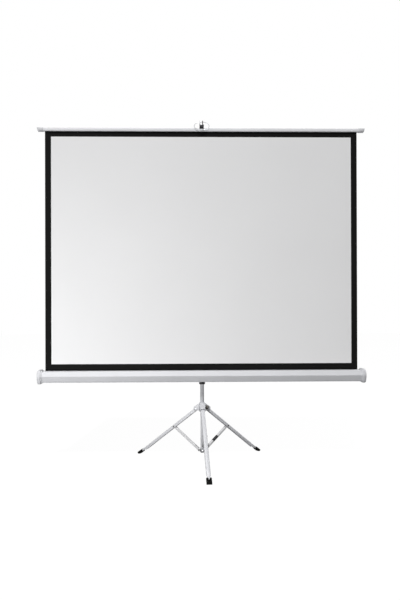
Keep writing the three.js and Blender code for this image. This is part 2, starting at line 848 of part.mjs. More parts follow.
// Bar end cap: a cup whose outer end slants in towards its lower edge, made for the +X end
function barCap() {
  const slant = [
    [barHalf - barCapSlant, barBottom - barHeight],
    [barHalf + barCapSlant, barBottom - barHeight],
    [barHalf + barCapSlant, barTop + barHeight],
    [barHalf, barTop + barCapWall],
    [barHalf - barCapSlant, barBottom - barCapWall],
  ].map(([x, z]) => new THREE.Vector2(x, z));
  return cut(
    alongX(barOutline(barCapWall), barHalf - barCapLength, barHalf),
    alongX(barOutline(seatGap), barHalf - barCapLength - overrun, barEnd + seatGap),
    alongY(slant, fabricY - barDepth, fabricY + barDepth),
  );
}
piece('bar_cap_right', barCap(), whitePlastic);
piece('bar_cap_left', mirroredX(barCap()), whitePlastic);

// Ring on the bar: an oval of wire held low in a clip in front of the bar
const barFront = fabricY - barDepth / 2;
const ringY = barFront - seatGap - clipWall - turnGap - ringWireRadius;
const ringHalfWidth = ringWidth / 2 - ringWireRadius;
const ringHalfHeight = ringHeight / 2 - ringWireRadius;
const ringLow = barTop - ringDrop;
const ringLowWire = ringLow + ringWireRadius;
const ringCentre = ringLow + ringHeight / 2;
const ringSteps = 36;

// A round ring drawn out to an oval, its wire kept round
function ovalRing(wireRadius) {
  const mean = (ringHalfWidth + ringHalfHeight) / 2;
  const ring = new THREE.TorusGeometry(mean, wireRadius, wireSides, ringSteps);
  const spots = ring.attributes.position;
  for (let i = 0; i < spots.count; i += 1) {
    const angle = Math.atan2(spots.getY(i), spots.getX(i));
    spots.setX(i, spots.getX(i) + (ringHalfWidth - mean) * Math.cos(angle));
    spots.setY(i, spots.getY(i) + (ringHalfHeight - mean) * Math.sin(angle));
  }
  return ring.rotateX(Math.PI / 2).translate(0, ringY, ringCentre);
}
piece('bar_ring', ovalRing(ringWireRadius), steel);

const clipBack = barFront - seatGap;
const clipFront = ringY - ringWireRadius - turnGap - clipWall;
piece(
  'ring_clip',
  cut(
    block(
      [-clipWidth / 2, clipFront, ringLowWire - clipHeight / 2],
      [clipWidth / 2, clipBack, ringLowWire + clipHeight / 2],
    ),
    ovalRing(ringWireRadius + turnGap),
  ),
  whitePlastic,
);

// Extension rod with its guide in the pole
const armBottom = barTop + armLift;
const armTop = armBottom + armHeight;
const rodTop = armTop - armRoof - seatGap;
const rodBottom = poleTopHeight - rodInsertion;
const rodInner = rodRadius - rodWall;
piece('extension_rod', tubeZ(rodRadius, rodInner, rodBottom, rodTop), whitePaint);
piece(
  'rod_guide',
  join(
    rodZ(strutRadius, rodBottom - seatGap - guideLength, rodBottom - seatGap, roundSides),
    rodZ(rodInner - seatGap, rodBottom - guideLength, rodBottom + guideSpigot, roundSides),
  ),
  blackPlastic,
);

// Hook: a folded strip with a saddle under the ring and a lip of two prongs before it
const ringTopWire = ringCentre + ringHalfHeight;
const ringFall = ringHalfHeight * (1 - Math.sqrt(1 - (hookWidth / 2 / ringHalfWidth) ** 2));
const saddleTop = ringTopWire - ringFall - ringWireRadius - seatGap;
const lipBack = ringY - ringWireRadius - hookSlack;
const lipFront = lipBack - hookThickness;
const riserBack = ringY + ringWireRadius + hookSlack;
const riserFront = riserBack - hookThickness;
const hookBase = armTop + seatGap;
const hookRear = ringY + hookRearReach;
const lipTop = saddleTop + hookLip;
const hookOutline = [
  [hookRear, hookBase],
  [hookRear, hookBase + hookThickness],
  [riserBack, hookBase + hookThickness],
  [riserBack, saddleTop],
  [lipBack, saddleTop],
  [lipBack, lipTop],
  [lipFront, lipTop],
  [lipFront, saddleTop - hookThickness],
  [riserFront, saddleTop - hookThickness],
  [riserFront, hookBase],
].map(([y, z]) => new THREE.Vector2(y, z));
piece(
  'ring_hook',
  cut(
    alongX(hookOutline, -hookWidth / 2, hookWidth / 2),
    block([-hookNotch / 2, lipFront - overrun, saddleTop], [hookNotch / 2, lipBack, lipTop + overrun]),
  ),
  steel,
);

// Arm on the rod: a rounded bar over the top bar, its nose before the bar and a socket round the rod
const armNoseY = lipFront - armNose;
const armNoseLow = armBottom - armNoseDrop;
const armNoseBack = barFront - armNoseGap;
const socketRadius = rodRadius + seatGap + armSocketWall;
const armSection = rounded(
  [
    [-armWidth / 2, armNoseLow],
    [armWidth / 2, armNoseLow],
    [armWidth / 2, armTop],
    [-armWidth / 2, armTop],
  ],
  [armCorner, armCorner, armTopCorner, armTopCorner],
);
const armSide = rounded(
  [
    [armNoseY, armNoseLow],
    [armNoseBack, armNoseLow],
    [armNoseBack, armBottom],
    [socketRadius, armBottom],
    [socketRadius, armTop],
    [armNoseY, armTop],
  ],
  [armCorner, 0, 0, 0, armCorner, armCorner],
);
piece(
  'rod_arm',
  cut(
    join(
      common(alongY(armSection, armNoseY, socketRadius), alongX(armSide, -armWidth, armWidth)),
      rodZ(socketRadius, armBottom - armSocketDrop, armBottom + armRoof, roundSides),
    ),
    rodZ(rodRadius + seatGap, armBottom - armSocketDrop - overrun, rodTop + seatGap, roundSides),
  ),
  blackPlastic,
);

// The origin lies on the floor, below the middle of the whole screen's box
const whole = new THREE.Box3().setFromObject(screen, true);
screen.position.set(-(whole.min.x + whole.max.x) / 2, -(whole.min.y + whole.max.y) / 2, 0);

export default screen;
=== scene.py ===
# Tripod projector screen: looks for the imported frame. Metres, +Z up, the picture faces -Y.
import json
import math

import bmesh
import bpy
from mathutils import Matrix, Vector


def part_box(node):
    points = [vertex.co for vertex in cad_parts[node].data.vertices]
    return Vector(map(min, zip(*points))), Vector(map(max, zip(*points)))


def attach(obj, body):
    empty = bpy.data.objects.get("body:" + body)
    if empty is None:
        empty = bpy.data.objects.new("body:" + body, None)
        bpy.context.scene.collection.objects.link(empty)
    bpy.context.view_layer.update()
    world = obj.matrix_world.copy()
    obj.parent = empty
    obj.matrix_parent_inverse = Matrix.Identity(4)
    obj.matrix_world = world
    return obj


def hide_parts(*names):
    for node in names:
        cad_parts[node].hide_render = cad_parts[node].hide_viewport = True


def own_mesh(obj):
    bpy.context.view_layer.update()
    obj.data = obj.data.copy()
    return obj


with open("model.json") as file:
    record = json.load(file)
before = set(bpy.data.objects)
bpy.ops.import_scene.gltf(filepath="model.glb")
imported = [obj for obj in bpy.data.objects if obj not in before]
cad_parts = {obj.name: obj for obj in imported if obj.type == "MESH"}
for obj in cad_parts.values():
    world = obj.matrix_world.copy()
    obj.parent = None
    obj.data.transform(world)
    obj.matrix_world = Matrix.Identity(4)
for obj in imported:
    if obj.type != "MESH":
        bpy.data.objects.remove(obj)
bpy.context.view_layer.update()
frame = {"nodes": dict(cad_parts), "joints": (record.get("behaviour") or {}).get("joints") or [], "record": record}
bodies = frame["record"]["behaviour"]["bodies"]
bodyOf = {node: body for body, nodes in bodies.items() for node in nodes}
slotOf = {part["node"]: part["material_slot"] for part in frame["record"]["subparts"]}
print("frame loaded:", len(frame["nodes"]), "nodes")


# Camera at the photograph's angle
view = {
    "place": (-0.1020, -3.1678, 0.8810),      # from the pole's foot
    "turn": -0.0193,        # radians about Z, to the right
    "pitch": 0.0024,        # radians, upwards
    "roll": -0.0026,        # radians about the line of sight
    "shift": (5.3, 5.2),    # of the picture behind the lens, in pixels
    "focal": 556.4,         # in pixels of a 400 by 600 frame
    "frameHeight": 600.0,   # in pixels
    "sensor": 36.0,         # in millimetres, of any size: the focal length follows it
    "clipStart": 0.05,
}


def addCamera():
    lens = bpy.data.cameras.new("camera")
    lens.sensor_width = view["sensor"]
    lens.lens = view["focal"] / view["frameHeight"] * view["sensor"]
    lens.clip_start = view["clipStart"]
    lens.shift_x, lens.shift_y = (step / view["frameHeight"] for step in view["shift"])
    camera = bpy.data.objects.new("camera", lens)
    low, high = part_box("pole_tube")
    place = Vector(view["place"]) + Vector((0, (low[1] + high[1]) / 2, 0))
    level = Matrix.Rotation(math.pi / 2 + view["pitch"], 4, "X")
    turned = Matrix.Rotation(view["turn"], 4, "Z") @ level @ Matrix.Rotation(view["roll"], 4, "Z")
    camera.matrix_world = Matrix.Translation(place) @ turned
    bpy.context.collection.objects.link(camera)
    bpy.context.scene.camera = camera


# Maths on sockets, written as plain expressions
class Value:
    def __init__(self, tree, socket):
        self.tree = tree
        self.socket = socket

    def op(self, kind, *others):
        made = self.tree.nodes.new("ShaderNodeMath")
        made.operation = kind
        for i, item in enumerate(others):
            if isinstance(item, Value):
                self.tree.links.new(item.socket, made.inputs[i])
            else:
                made.inputs[i].default_value = item
        return Value(self.tree, made.outputs[0])

    def __add__(self, other):
        return self.op("ADD", self, other)

    def __radd__(self, other):
        return self.op("ADD", other, self)

    def __rsub__(self, other):
        return self.op("SUBTRACT", other, self)

    def __mul__(self, other):
        return self.op("MULTIPLY", self, other)

    def sine(self):
        return self.op("SINE", self)

    def clamp(self):
        return self.op("MINIMUM", self.op("MAXIMUM", self, 0.0), 1.0)


class Graph:
    def put(self, node, sockets):
        for key, item in sockets.items():
            socket = node.inputs[key]
            if isinstance(item, Value):
                self.tree.links.new(item.socket, socket)
            elif isinstance(item, bpy.types.NodeSocket):
                self.tree.links.new(item, socket)
            else:
                socket.default_value = item

    def node(self, kind, settings=None, sockets=None):
        made = self.tree.nodes.new(kind)
        for key, item in (settings or {}).items():
            setattr(made, key, item)
        self.put(made, sockets or {})
        return made

    def value(self, socket):
        return Value(self.tree, socket)


class Finish(Graph):
    def __init__(self, name, **sockets):
        self.material = bpy.data.materials.new(name)
        self.material.use_nodes = True
        self.tree = self.material.node_tree
        self.shader = self.tree.nodes["Principled BSDF"]
        self.put(self.shader, sockets)
        self.place = self.node("ShaderNodeTexCoord").outputs["Object"]

    # One noise, its scale in features per metre. Stops turn it into patches with clear ground between
    def layer(self, scale, detail=2.0, rough=0.5, stretch=(1, 1, 1), stops=None):
        where = self.node("ShaderNodeMapping", sockets={"Vector": self.place, "Scale": stretch})
        made = self.node("ShaderNodeTexNoise", sockets={
            "Vector": where.outputs[0], "Scale": scale, "Detail": detail, "Roughness": rough})
        if stops is None:
            return self.value(made.outputs["Fac"])
        patches = self.node("ShaderNodeValToRGB", sockets={"Fac": made.outputs["Fac"]})
        for stop, position, grey in zip(patches.color_ramp.elements, stops, (0.0, 1.0)):
            stop.position = position
            stop.color = (grey, grey, grey, 1)
        return self.value(patches.outputs["Color"])

    def layers(self, look, *names):
        return [self.layer(**look[name]) for name in names]

    def coordinate(self, axis):
        parts = self.node("ShaderNodeSeparateXYZ", sockets={"Vector": self.place})
        return self.value(parts.outputs[axis])

    def mix(self, mask, first, second):
        made = self.node("ShaderNodeMix", {"data_type": "RGBA"}, {0: mask, 6: first, 7: second})
        return made.outputs[2]

    def bump(self, height, distance, strength):
        made = self.node("ShaderNodeBump", sockets={
            "Height": height, "Distance": distance, "Strength": strength})
        self.put(self.shader, {"Normal": made.outputs[0]})


def rgb(red, green, blue):
    return (red, green, blue, 1.0)


# Painted, moulded and plated finishes. Relief is a height in metres and a strength
paintLook = {
    "cloudy": {"scale": 9.0, "detail": 3.0, "stops": (0.35, 0.7)},
    "fine": {"scale": 260.0},
    "worn": {"scale": 55.0, "detail": 4.0, "rough": 0.7, "stops": (0.66, 0.74)},
    "grain": {"scale": 1500.0},
    "relief": (0.00004, 0.5),
    "cloudShade": 0.965,     # of the paint's colour
    "wornShare": 0.35,
    "roughness": 0.40,
    "fineRough": 0.10,
    "wornRough": 0.08,
    "gloss": 0.45,
}


def paintFinish(name, colour, dusty):
    look = paintLook
    paint = Finish(name, **{"Specular IOR Level": look["gloss"]})
    cloudy, fine, worn, grain = paint.layers(look, "cloudy", "fine", "worn", "grain")
    base = paint.mix(cloudy, rgb(*colour), rgb(*[c * look["cloudShade"] for c in colour]))
    paint.put(paint.shader, {
        "Base Color": paint.mix(worn * look["wornShare"], base, rgb(*dusty)),
        "Roughness": look["roughness"] + fine * look["fineRough"] + worn * look["wornRough"],
    })
    paint.bump(grain, *look["relief"])
    return paint.material


plasticLook = {
    "patchy": {"scale": 30.0, "detail": 3.0, "stops": (0.4, 0.75)},
    "scuffs": {
        "scale": 120.0, "detail": 5.0, "rough": 0.75, "stretch": (1, 1, 0.25), "stops": (0.62, 0.78)},
    "relief": (0.00006, 0.6),
    "patchShare": 0.5,
    "scuffShare": 0.4,
    "scuffRough": 0.12,
    "gloss": 0.4,
}


def plasticFinish(name, colour, pale, roughness, grain):
    look = plasticLook
    plastic = Finish(name, **{"Specular IOR Level": look["gloss"]})
    patchy, scuffs = plastic.layers(look, "patchy", "scuffs")
    base = plastic.mix(patchy * look["patchShare"], rgb(*colour), rgb(*pale))
    plastic.put(plastic.shader, {
        "Base Color": plastic.mix(scuffs * look["scuffShare"], base, rgb(*pale)),
        "Roughness": roughness + scuffs * look["scuffRough"],
    })
    plastic.bump(plastic.layer(grain), *look["relief"])
    return plastic.material


rubberLook = {
    "colour": (0.006, 0.006, 0.006),
    "dusty": (0.03, 0.029, 0.027),
    "dust": {"scale": 70.0, "detail": 4.0, "rough": 0.7, "stops": (0.5, 0.8)},
    "grain": {"scale": 900.0, "detail": 3.0},
    "relief": (0.00008, 0.7),
    "dustShare": 0.25,
    "floorShare": 0.25,      # of the dust picked up from the floor
    "floorFall": 60.0,       # per metre above it
    "roughness": 0.62,
    "dustRough": 0.2,
    "gloss": 0.04,
}


def rubberFinish():
    look = rubberLook
    rubber = Finish("bootRubber", **{"Specular IOR Level": look["gloss"]})
    dust, grain = rubber.layers(look, "dust", "grain")
    floorDust = (1.0 - rubber.coordinate("Z") * look["floorFall"]).clamp()
    dirt = (dust * look["dustShare"] + floorDust * look["floorShare"]).clamp()
    rubber.put(rubber.shader, {
        "Base Color": rubber.mix(dirt, rgb(*look["colour"]), rgb(*look["dusty"])),
        "Roughness": look["roughness"] + dust * look["dustRough"],
    })
    rubber.bump(grain, *look["relief"])
    return rubber.material


metalLook = {
    "streaks": {"scale": 400.0, "detail": 3.0, "rough": 0.65},
    "cloudy": {"scale": 45.0, "detail": 3.0, "stops": (0.35, 0.7)},
    "relief": (0.00003, 0.4),
    "cloudShare": 0.6,
    "streakShare": 0.3,
    "streakRough": 0.16,
    "cloudRough": 0.05,
}


def metalFinish(name, colour, dull, roughness, stretch):
    look = metalLook
    metal = Finish(name, **{"Metallic": 1.0})
    streaks = metal.layer(**look["streaks"], stretch=stretch)
    cloudy = metal.layer(**look["cloudy"])
    dullness = (cloudy * look["cloudShare"] + streaks * look["streakShare"]).clamp()
    metal.put(metal.shader, {
        "Base Color": metal.mix(dullness, rgb(*colour), rgb(*dull)),
        "Roughness": roughness + streaks * look["streakRough"] + cloudy * look["cloudRough"],
    })
    metal.bump(streaks, *look["relief"])
    return metal.material


# Coated cloth: a fine weave in relief on a matt coat
weaveLook = {
    "soft": {"scale": 2.2, "stops": (0.3, 0.75)},
    "fine": {"scale": 700.0},
    "relief": (0.00006, 0.35),
    "pitch": 0.0009,         # of the cloth's weave, and of the thread's twist
    "threadPitch": 0.0004,
    "softShare": 0.5,
    "fineShare": 0.3,
    "fineRough": 0.08,
    "weaveRelief": 0.5,
    "fineRelief": 0.4,
}


def clothFinish(name, colour, shade, roughness, gloss, pitch=weaveLook["pitch"]):
    look = weaveLook
    cloth = Finish(name, **{"Specular IOR Level": gloss})
    across, along = ((cloth.coordinate(axis) * (2 * math.pi / pitch)).sine() for axis in ("X", "Z"))
    soft, fine = cloth.layers(look, "soft", "fine")
    shading = (soft * look["softShare"] + fine * look["fineShare"]).clamp()
    cloth.put(cloth.shader, {
        "Base Color": cloth.mix(shading, rgb(*colour), rgb(*shade)),
        "Roughness": roughness + fine * look["fineRough"],
    })
    cloth.bump(across * along * look["weaveRelief"] + fine * look["fineRelief"], *look["relief"])
    return cloth.material


# Colour and worn colour of each, then for plastic its roughness and grain, for metal its roughness
# and the stretch of its streaks, for cloth its roughness and gloss
finishes = {
    "white_paint": paintFinish("whitePaint", (0.68, 0.685, 0.71), (0.52, 0.52, 0.53)),
    "brace_paint": paintFinish("bracePaint", (0.68, 0.68, 0.69), (0.52, 0.52, 0.52)),
    "white_plastic": plasticFinish(
        "whitePlastic", (0.66, 0.665, 0.69), (0.52, 0.52, 0.53), 0.42, 900.0),
    "black_plastic": plasticFinish(
        "blackPlastic", (0.014, 0.014, 0.016), (0.04, 0.04, 0.043), 0.45, 1100.0),
    "boot_rubber": rubberFinish(),
    "bright_steel": metalFinish(
        "brightSteel", (0.66, 0.67, 0.69), (0.48, 0.48, 0.50), 0.24, (1, 1, 0.08)),
    "dark_steel": metalFinish(
        "darkSteel", (0.16, 0.15, 0.14), (0.08, 0.075, 0.07), 0.38, (1, 1, 0.3)),
    "screen_cloth": clothFinish(
        "screenWhite", (0.875, 0.875, 0.88), (0.845, 0.845, 0.85), 0.82, 0.15),
}
accents = {                  # for single pieces, beside the slots' own finishes
    "bar": paintFinish("barPaint", (0.77, 0.775, 0.80), (0.60, 0.60, 0.61)),
    "border": clothFinish("borderBlack", (0.008, 0.008, 0.008), (0.012, 0.012, 0.0115), 0.78, 0.05),
    "back": clothFinish("backBlack", (0.020, 0.020, 0.021), (0.028, 0.028, 0.029), 0.85, 0.1),
    "stitch": clothFinish(
        "stitchBlack", (0.035, 0.035, 0.038), (0.025, 0.025, 0.027), 0.7, 0.1,
        weaveLook["threadPitch"]),
}
print("finishes made:", len(finishes) + len(accents))


# Shared mesh work
smooth = {
    "faceAngle": 35.0,       # degrees, up to which two faces blend
    "bevelAngle": 30.0,      # degrees, from which an edge is eased
    "bevelSteps": 2,
    "flatAngle": 0.5,        # degrees, up to which the frame's own facets join
    "weld": 1e-6,            # for corners that the frame's mesh has twice
    "seam": 1e-7,            # for a lathed form's points on its axis
}
broad = ("case_shell", "top_bar", "case_bracket")      # wide faces stay flat, only their edges bend
replaced = set()             # nodes with a look of their own so far


def finished(name, shape, materials, faceAngle=smooth["faceAngle"]):
    mesh = bpy.data.meshes.new(name)
    shape.to_mesh(mesh)
    shape.free()
    for material in materials:
        mesh.materials.append(material)
    for face in mesh.polygons:
        face.use_smooth = True
    mesh.set_sharp_from_angle(angle=math.radians(faceAngle))
    piece = bpy.data.objects.new(name, mesh)
    bpy.context.collection.objects.link(piece)
    return piece


def applied(piece):
    tree = bpy.context.evaluated_depsgraph_get()
    mesh = bpy.data.meshes.new_from_object(piece.evaluated_get(tree))
    piece.modifiers.clear()
    piece.data = mesh
    return mesh


def ease(piece, width):
    edge = piece.modifiers.new("edge", "BEVEL")
    edge.width = width
    edge.segments = smooth["bevelSteps"]
    edge.limit_method = "ANGLE"
    edge.angle_limit = math.radians(smooth["bevelAngle"])
    applied(piece).set_sharp_from_angle(angle=math.radians(smooth["faceAngle"]))


def flatten(piece):
    flat = piece.modifiers.new("flat", "WEIGHTED_NORMAL")
    flat.keep_sharp = True
    applied(piece)


def settle(piece, body):
    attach(piece, body)


def standIn(piece, node):
    settle(piece, bodyOf[node])
    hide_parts(node)
    replaced.add(node)


def ownCopy(node):
    shape = bmesh.new()
    shape.from_mesh(frame["nodes"][node].data)
    bmesh.ops.remove_doubles(shape, verts=shape.verts, dist=smooth["weld"])
    bmesh.ops.dissolve_limit(
        shape, angle_limit=math.radians(smooth["flatAngle"]),
        verts=shape.verts, edges=shape.edges, use_dissolve_boundaries=False)
    return shape


def dress(node, edge):
    material = accents["bar"] if node == "top_bar" else finishes[slotOf[node]]
    piece = finished(node + "Look", ownCopy(node), [material])
    ease(piece, edge)
    if node in broad:
        flatten(piece)
    standIn(piece, node)


# Lathed and lofted forms
def bridge(shape, low, high):
    return [shape.faces.new((low[i], low[i - 1], high[i - 1], high[i])) for i in range(len(low))]


def turnedShape(profile, segments):
    shape = bmesh.new()
    rings = []
    for radius, height in profile:
        rings.append([
            shape.verts.new((radius * math.cos(t), radius * math.sin(t), height))
            for t in (2 * math.pi * i / segments for i in range(segments))])
    for low, high in zip(rings, [*rings[1:], rings[0]]):
        bridge(shape, low, high)
    bmesh.ops.remove_doubles(shape, verts=shape.verts, dist=smooth["seam"])
    bmesh.ops.recalc_face_normals(shape, faces=shape.faces)
    return shape


def loftedShape(rings):
    shape = bmesh.new()
    rows = [[shape.verts.new(point) for point in ring] for ring in rings]
    for low, high in zip(rows, rows[1:]):
        bridge(shape, low, high)
    shape.faces.new(rows[0])
    shape.faces.new(rows[-1][::-1])
    bmesh.ops.recalc_face_normals(shape, faces=shape.faces)
    return shape


def moved(shape, matrix):
    bmesh.ops.transform(shape, matrix=matrix, verts=shape.verts)
    return shape


def boxMiddle(node):
    low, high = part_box(node)
    return (Vector(low) + Vector(high)) / 2


def radiusOf(node):
    low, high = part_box(node)
    return (high[0] - low[0]) / 2


def pivot(jointName):
    return Vector(joints[jointName]["pos_m"])


def pivotAxis(jointName):
    return Vector(joints[jointName]["axis"])


sides = ("front", "right", "left")
joints = {joint["name"]: joint for joint in frame["joints"]}
print("shared forms ready")


# Tubes of the stand, with the small lips that a saw and a deburring wheel leave
tube = {
    "nodes": ("pole_tube", "strut_tube", "extension_rod"),
    "wall": 0.0012,
    "lip": 0.0004,
    "segments": 64,
    "faceAngle": 50.0,
}


def addTube(node):
    low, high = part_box(node)
    outer, lip = radiusOf(node), tube["lip"]
    inner = outer - tube["wall"]
    profile = [
        (outer - lip, low[2]), (outer, low[2] + lip), (outer, high[2] - lip), (outer - lip, high[2]),
        (inner + lip, high[2]), (inner, high[2] - lip), (inner, low[2] + lip), (inner + lip, low[2]),
    ]
    middle = boxMiddle(node)
    place = Matrix.Translation((middle.x, middle.y, 0))
    shape = moved(turnedShape(profile, tube["segments"]), place)
    standIn(finished(node + "Look", shape, [finishes[slotOf[node]]], tube["faceAngle"]), node)


for node in tube["nodes"]:
    addTube(node)
print("tubes turned:", len(tube["nodes"]))


# Clamp knobs: a lobed grip on a stem, turned about the joint's axis
knob = {
    "start": 0.0243,         # of the grip, from the pole's axis
    "radius": 0.011,
    "length": 0.014,
    "stem": 0.004,
    "gap": 0.0003,           # between the stem and its tube
    "ease": 0.0016,
    "corners": (0.3, 0.45),  # share of the ease cut off below and above
    "dish": 0.0018,          # hollow in the outer face
    "dishEdges": (0.55, 0.45),
    "dishMiddle": 1.3,       # its depth there, against the dish's
    "lobes": 10,
    "lobeDepth": 0.0014,
    "lobeReach": 3,          # from the rim inwards, in eases
    "lobePower": 2,
    "segments": 120,
    "faceAngle": 40.0,
}


def addKnob(node, jointName):
    radius, stem, curve, dish = knob["radius"], knob["stem"], knob["ease"], knob["dish"]
    tip, start = radiusOf("pole_tube") + knob["gap"], knob["start"]
    end = start + knob["length"]
    under, over = (curve * share for share in knob["corners"])
    rim, floor = (radius * share for share in knob["dishEdges"])
    profile = [
        (0.0, tip), (stem, tip), (stem, start), (radius - 2 * curve, start),
        (radius - under, start + under), (radius, start + curve), (radius, end - 2 * curve),
        (radius - over, end - over), (radius - 2 * curve, end),
        (rim, end), (floor, end - dish), (0.0, end - dish * knob["dishMiddle"]),
    ]
    shape = turnedShape(profile, knob["segments"])
    for vert in shape.verts:
        if math.hypot(vert.co.x, vert.co.y) > radius - knob["lobeReach"] * curve:
            lobe = 0.5 - 0.5 * math.cos(knob["lobes"] * math.atan2(vert.co.y, vert.co.x))
            scale = 1 - knob["lobeDepth"] / radius * lobe ** knob["lobePower"]
            vert.co.x *= scale
            vert.co.y *= scale
    turn = Vector((0, 0, 1)).rotation_difference(pivotAxis(jointName)).to_matrix().to_4x4()
    moved(shape, Matrix.Translation(pivot(jointName)) @ turn)
    standIn(finished(node + "Look", shape, [finishes[slotOf[node]]], knob["faceAngle"]), node)


addKnob("hub_knob", "leg_knob_turn")
addKnob("height_knob", "case_knob_turn")
print("knobs made")


# Ring: an oval of round wire with the bead of its weld low behind the clip
ring = {
    "solidWire": 0.0025,     # radius in the frame's ring, whose middle line stays in the clip
    "wire": 0.0015,          # radius drawn
    "steps": 160,
    "sides": 16,
    "weldTurn": 1.5 * math.pi,
    "weldSwell": 0.0002,
    "weldSpread": 0.06,      # in radians of the ring's turn
    "faceAngle": 60.0,
}


def addRing():
    low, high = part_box("bar_ring")
    wire = ring["wire"]
    drop = (ring["solidWire"] - wire) / 2
    wide = (high[0] - low[0]) / 2 - ring["solidWire"]
    tall = (high[2] - low[2]) / 2 - ring["solidWire"] - drop
    middle = boxMiddle("bar_ring") - Vector((0, 0, drop))
    depth = Vector((0, 1, 0))
    shape = bmesh.new()
    rows = []
    for i in range(ring["steps"]):
        t = 2 * math.pi * i / ring["steps"]
        centre = middle + Vector((wide * math.cos(t), 0, tall * math.sin(t)))
        outward = Vector((math.cos(t), 0, math.sin(t)))
        away = (t - ring["weldTurn"]) / ring["weldSpread"]
        radius = wire + ring["weldSwell"] * math.exp(-away * away)
        rows.append([
            shape.verts.new(centre + outward * radius * math.cos(u) + depth * radius * math.sin(u))
            for u in (2 * math.pi * k / ring["sides"] for k in range(ring["sides"]))])
    for row, after in zip(rows, [*rows[1:], rows[0]]):
        bridge(shape, row, after)
    bmesh.ops.recalc_face_normals(shape, faces=shape.faces)
    standIn(finished("barRingLook", shape, [finishes["bright_steel"]], ring["faceAngle"]), "bar_ring")


addRing()


# Hook: a foot on the arm and two bent prongs of one steel; the right prong is drawn in dark steel as painted shade
hook = {
    "thick": 0.002,
    "riser": 0.0086,         # its back, from the lip's front
    "saddle": 0.012,         # its top, above the foot
    "prongs": ((-0.0122, -0.0088), (0.0026, 0.0078)),
    "ease": 0.0004,
}


def prism(shape, start, end, outline, index):
    low, high = ([shape.verts.new((x, y, z)) for y, z in outline] for x in (start, end))
    for face in (*bridge(shape, low, high), shape.faces.new(low), shape.faces.new(high[::-1])):
        face.material_index = index


def addHook():
    low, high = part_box("ring_hook")
    thick = hook["thick"]
    front, back = low[1], low[1] + hook["riser"]
    base, saddle = low[2], low[2] + hook["saddle"]
    shape = bmesh.new()
    foot = [
        (back - thick, base), (high[1], base), (high[1], base + thick), (back - thick, base + thick)]
    prism(shape, low[0], high[0], foot, 0)
    prong = [
        (back - thick, base), (back - thick, saddle - thick), (front, saddle - thick), (front, high[2]),
        (front + thick, high[2]), (front + thick, saddle), (back, saddle), (back, base)]
    # The first prong is bright steel; the second prong's dark steel is painted shade on its side away from the
    # light
    for index, (start, end) in enumerate(hook["prongs"]):
        prism(shape, start, end, prong, index)
    bmesh.ops.recalc_face_normals(shape, faces=shape.faces)
    piece = finished("ringHookLook", shape, [finishes["bright_steel"], finishes["dark_steel"]])
    ease(piece, hook["ease"])
    standIn(piece, "ring_hook")


addHook()
print("ring and hook bent")


# Case end caps: a sleeve on the shell, a step, and a flange that bulges to the end
cap = {
    "room": 0.0004,          # between the sleeve and the shell
    "sleeveGrow": 0.0032,    # over the shell
    "floor": 0.005,          # thickness of its end
    "stations": (            # share of the cap's length, share of its growth, None on the sleeve
        (0.0, None), (0.24, None), (0.27, 0.86), (0.31, 0.97), (0.40, 1.0), (0.62, 1.0),
        (0.76, 0.93), (0.87, 0.72), (0.94, 0.42), (0.985, 0.02), (1.0, -0.55),
    ),
    "innerCurve": 0.001,
    "outerCurve": 0.003,
    "flangeCurve": 0.012,    # added to it along the flange
    "faceAngle": 32.0,
}
outline = {                  # of the shell: depths from its ridge, and corners as shares
    "front": (0.032, ((-0.62, 1.0), (-1.0, 0.13), (-0.75, -0.72), (-0.6, -1.0))),
    "back": (0.028, ((0.6, -1.0), (1.0, -0.78), (1.0, 0.78), (0.92, 1.0))),
    "curveSteps": 5,
    "curveShare": 0.45,      # of an edge, the most that one corner takes
}


def caseRing(x, grow, curve):
    low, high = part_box("case_shell")
    ridge = high[1] - outline["back"][0]
    centre, half = boxMiddle("case_shell").z, (high[2] - low[2]) / 2 + grow
    corners = [
        Vector((x, ridge + u * (depth + grow), centre + v * half))
        for depth, shares in (outline["front"], outline["back"]) for u, v in shares]
    points = []
    for i, corner in enumerate(corners):
        before = corners[i - 1] - corner
        after = corners[(i + 1) % len(corners)] - corner
        reach = min(curve, before.length * outline["curveShare"], after.length * outline["curveShare"])
        start, end = corner + before.normalized() * reach, corner + after.normalized() * reach
        for k in range(outline["curveSteps"] + 1):
            t = k / outline["curveSteps"]
            points.append(start * (1 - t) ** 2 + corner * 2 * t * (1 - t) + end * t * t)
    return points


def addCaseCap(node, side):
    low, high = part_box(node)
    shellLow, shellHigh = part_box("case_shell")
    grow = (high[2] - low[2]) / 2 - (shellHigh[2] - shellLow[2]) / 2
    inner, outer = (low[0], high[0]) if side > 0 else (high[0], low[0])
    rings = [caseRing(x, cap["room"], cap["innerCurve"]) for x in (outer - side * cap["floor"], inner)]
    for share, growth in cap["stations"]:
        x = inner + (outer - inner) * share
        if growth is None:
            rings.append(caseRing(x, cap["sleeveGrow"], cap["outerCurve"]))
        else:
            rings.append(caseRing(x, grow * growth, cap["outerCurve"] + cap["flangeCurve"] * share))
    piece = finished(node + "Look", loftedShape(rings), [finishes[slotOf[node]]], cap["faceAngle"])
    standIn(piece, node)


addCaseCap("case_cap_right", 1)
addCaseCap("case_cap_left", -1)
print("case caps lofted")


